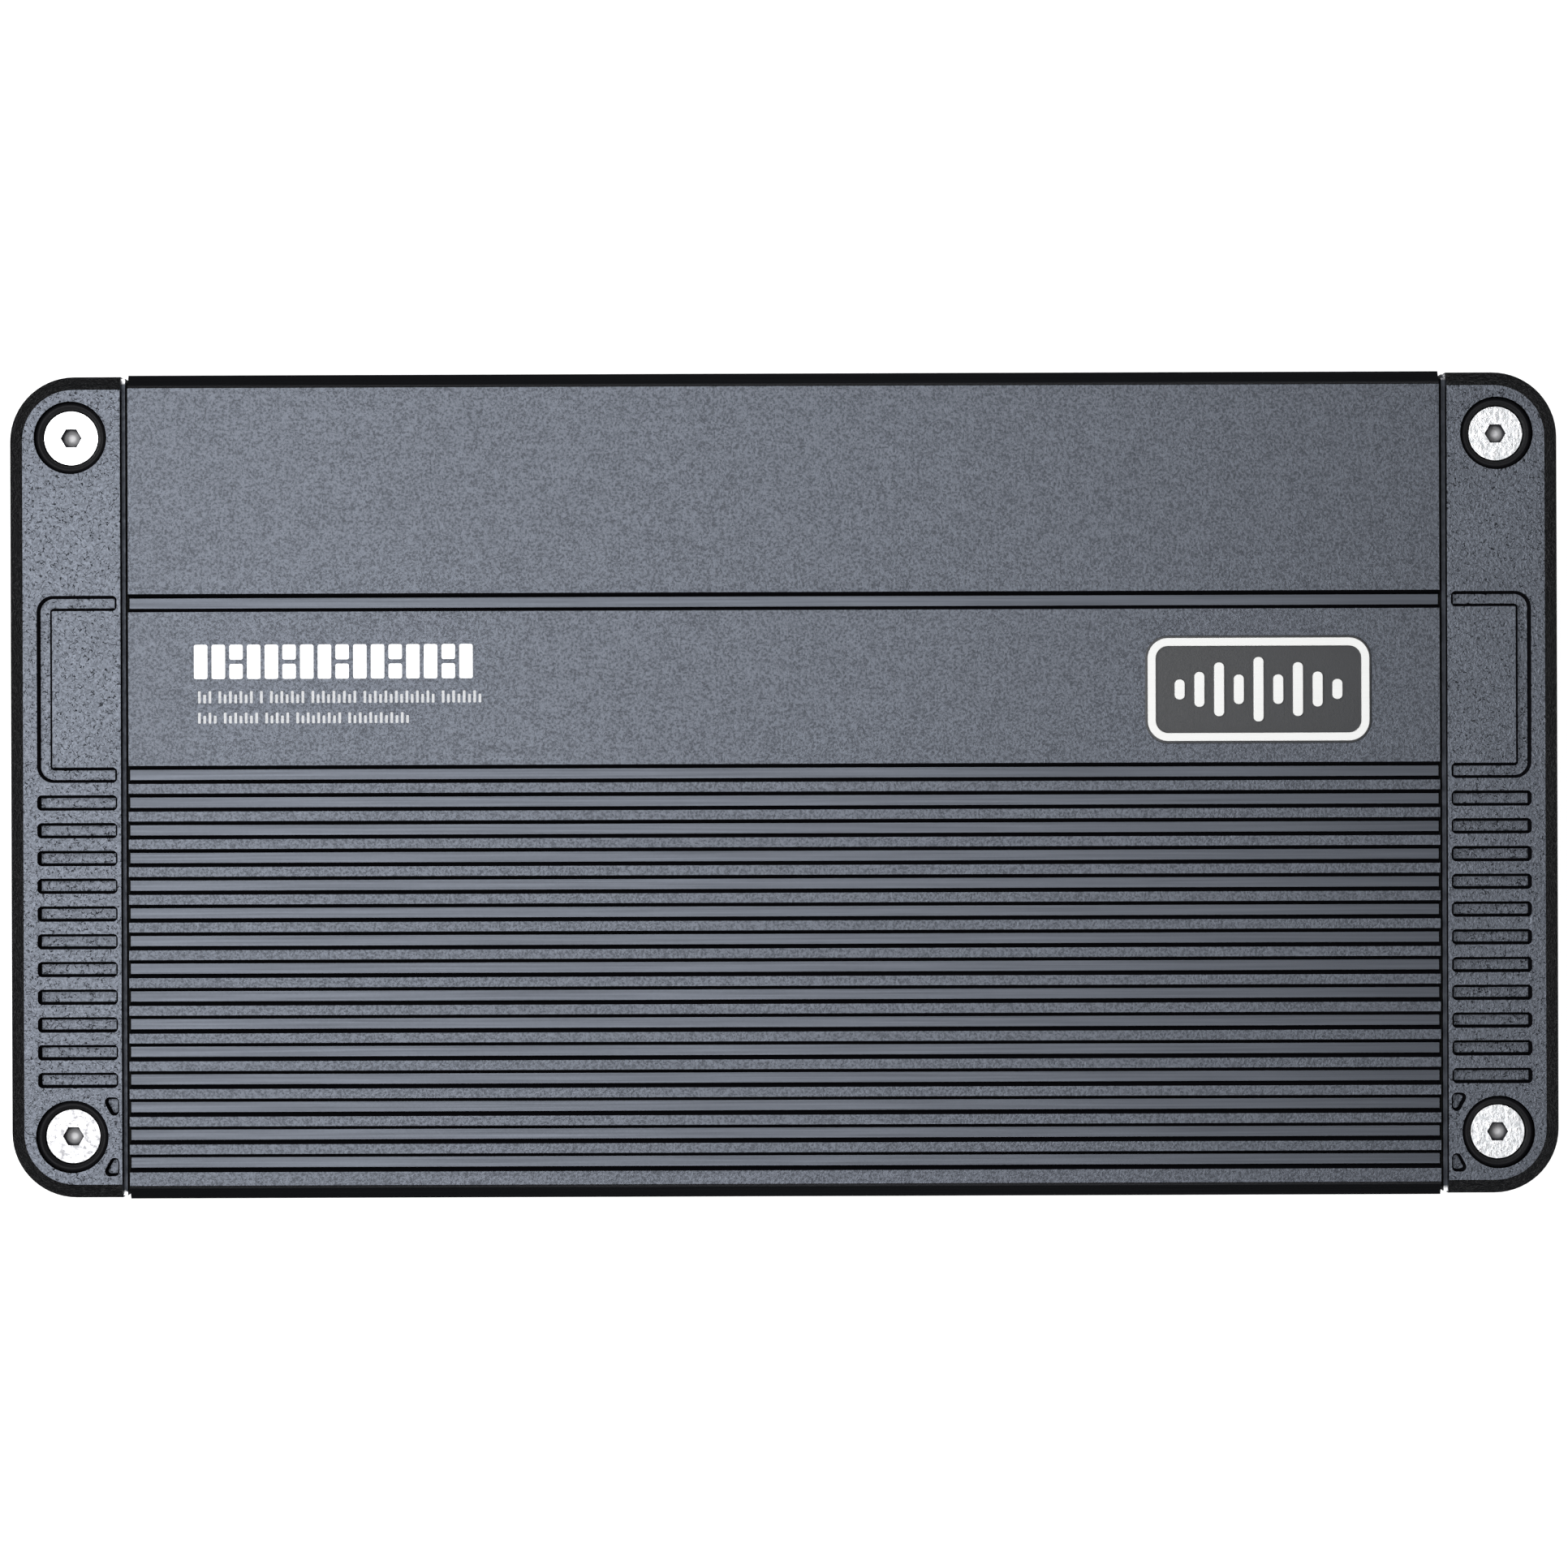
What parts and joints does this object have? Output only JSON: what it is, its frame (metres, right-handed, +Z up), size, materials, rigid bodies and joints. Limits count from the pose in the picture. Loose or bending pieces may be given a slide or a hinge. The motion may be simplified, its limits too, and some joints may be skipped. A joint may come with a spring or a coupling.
{
  "type": "car audio amplifier",
  "caption": "Low black finned amplifier: grooved aluminium extrusion between two deep end caps with corner socket screws, framed connector panels at both ends, electronics inside.",
  "frame": {"origin": "middle of the underside's bounding box, on the mounting plane", "axes": "+X along the fins towards the power end, +Y across towards the wide plain band, +Z up out of the finned top"},
  "size_m": [0.23, 0.1224, 0.0491],
  "materials": {
    "black_anodised": "fine blasted black anodised",
    "black_cast": "fine textured black powder coat on die-cast metal",
    "black_steel": "satin black painted steel",
    "bare_steel_panel": "black printed face, bare punched edges",
    "bright_screw": "bright zinc-plated socket screws",
    "black_screw": "blackened steel screws",
    "steel_screw": "plain zinc-plated screws",
    "black_nylon": "moulded black nylon",
    "foam": "black closed-cell foam",
    "brass": "turned brass",
    "badge_black": "gloss black",
    "badge_silver": "satin silver",
    "board_green": "solder-masked board",
    "package_black": "epoxy packages with tinned leads",
    "pad_grey": "silicone thermal pad",
    "aluminium_plain": "mill finish",
    "ferrite": "coated ferrite",
    "iron_powder": "yellow coated iron powder",
    "enamelled_wire": "enamelled copper wire",
    "can_sleeve": "dark blue heat-shrink sleeve, bare top",
    "film_red": "dipped red epoxy",
    "connector_plastic": "black glass-filled nylon",
    "gold_plate": "gold flash on brass",
    "insert_white": "white insulator",
    "insert_red": "red insulator",
    "pot_blue": "moulded potentiometer bodies",
    "slider_grey": "light grey slider",
    "led_blue": "clear blue lens",
    "led_red": "clear red lens",
    "spring_bronze": "tin-plated bronze",
    "fuse_green": "translucent green fuse body",
    "fuse_blade": "zinc blades"
  },
  "bodies": {
    "amplifier": {"heatsink": "black_anodised", "base_plate": "black_steel", "base_plate_screws": "black_screw", "signal_end_cap": "black_cast", "power_end_cap": "black_cast", "signal_panel": "bare_steel_panel", "power_panel": "bare_steel_panel", "panel_gaskets": "foam", "end_cap_screws": "black_screw", "corner_screws": "bright_screw", "corner_bushings": "black_nylon", "corner_inserts": "brass", "badge_base": "badge_black", "badge_face": "badge_silver", "main_board": "board_green", "board_screws": "steel_screw", "control_board": "board_green", "board_link_header": "package_black", "transistors": "package_black", "thermal_pads": "pad_grey", "clamp_bars": "aluminium_plain", "clamp_bar_screws": "steel_screw", "transformer_core": "ferrite", "transformer_winding": "enamelled_wire", "output_inductor_core": "iron_powder", "output_inductor_winding": "enamelled_wire", "electrolytic_capacitors": "can_sleeve", "film_capacitors": "film_red", "control_chips": "package_black", "rca_housings": "connector_plastic", "rca_sleeves": "gold_plate", "rca_inserts_white": "insert_white", "rca_inserts_red": "insert_red", "potentiometers": "pot_blue", "switch_bodies": "connector_plastic", "remote_port": "connector_plastic", "remote_port_contacts": "gold_plate", "power_led": "led_blue", "protect_led": "led_red", "power_terminal_block": "connector_plastic", "power_terminal_clamps": "brass", "speaker_terminal_block": "connector_plastic", "speaker_terminal_clamps": "brass", "fuse_holder": "connector_plastic", "fuse_contacts": "spring_bronze"},
    "gain_control": {"gain_knob": "black_nylon"},
    "lowpass_control": {"lowpass_knob": "black_nylon"},
    "subsonic_control": {"subsonic_knob": "black_nylon"},
    "bass_boost_control": {"bass_boost_knob": "black_nylon"},
    "phase_switch": {"phase_switch_slider": "slider_grey"},
    "level_switch": {"level_switch_slider": "slider_grey"},
    "ground_screw": {"ground_terminal_screw": "steel_screw"},
    "remote_screw": {"remote_terminal_screw": "steel_screw"},
    "battery_screw": {"battery_terminal_screw": "steel_screw"},
    "minus_screw": {"speaker_minus_screw": "steel_screw"},
    "plus_screw": {"speaker_plus_screw": "steel_screw"},
    "fuse_a": {"upper_fuse": "fuse_green", "upper_fuse_blades": "fuse_blade"},
    "fuse_b": {"lower_fuse": "fuse_green", "lower_fuse_blades": "fuse_blade"}
  },
  "joints": [
    {"name": "gain_turn", "type": "hinge", "parent": "amplifier", "child": "gain_control", "pos_m": [-0.0985, -0.003, 0.031], "axis": [1, 0, 0], "range_deg": [-150, 150]},
    {"name": "lowpass_turn", "type": "hinge", "parent": "amplifier", "child": "lowpass_control", "pos_m": [-0.0985, 0.0085, 0.031], "axis": [1, 0, 0], "range_deg": [-150, 150]},
    {"name": "subsonic_turn", "type": "hinge", "parent": "amplifier", "child": "subsonic_control", "pos_m": [-0.0985, 0.02, 0.031], "axis": [1, 0, 0], "range_deg": [-150, 150]},
    {"name": "bass_boost_turn", "type": "hinge", "parent": "amplifier", "child": "bass_boost_control", "pos_m": [-0.0985, 0.0315, 0.031], "axis": [1, 0, 0], "range_deg": [-150, 150]},
    {"name": "phase_slide", "type": "slide", "parent": "amplifier", "child": "phase_switch", "axis": [0, 1, 0], "range_m": [0, 0.0025]},
    {"name": "level_slide", "type": "slide", "parent": "amplifier", "child": "level_switch", "axis": [0, 1, 0], "range_m": [0, 0.0025]},
    {"name": "ground_screw_turn", "type": "hinge", "parent": "amplifier", "child": "ground_screw", "pos_m": [0.101, 0.0142, 0.02586], "axis": [-0.866, 0, -0.5], "range_deg": [-330, 30]},
    {"name": "remote_screw_turn", "type": "hinge", "parent": "amplifier", "child": "remote_screw", "pos_m": [0.101, 0.0255, 0.02238], "axis": [-0.866, 0, -0.5], "range_deg": [-330, 30]},
    {"name": "battery_screw_turn", "type": "hinge", "parent": "amplifier", "child": "battery_screw", "pos_m": [0.101, 0.0368, 0.02586], "axis": [-0.866, 0, -0.5], "range_deg": [-330, 30]},
    {"name": "minus_screw_turn", "type": "hinge", "parent": "amplifier", "child": "minus_screw", "pos_m": [0.101, -0.038, 0.02403], "axis": [-0.866, 0, -0.5], "range_deg": [-330, 30]},
    {"name": "plus_screw_turn", "type": "hinge", "parent": "amplifier", "child": "plus_screw", "pos_m": [0.101, -0.026, 0.02403], "axis": [-0.866, 0, -0.5], "range_deg": [-330, 30]},
    {"name": "upper_fuse_pull", "type": "slide", "parent": "amplifier", "child": "fuse_a", "axis": [1, 0, 0], "range_m": [0, 0.014]},
    {"name": "lower_fuse_pull", "type": "slide", "parent": "amplifier", "child": "fuse_b", "axis": [1, 0, 0], "range_m": [0, 0.014]}
  ]
}
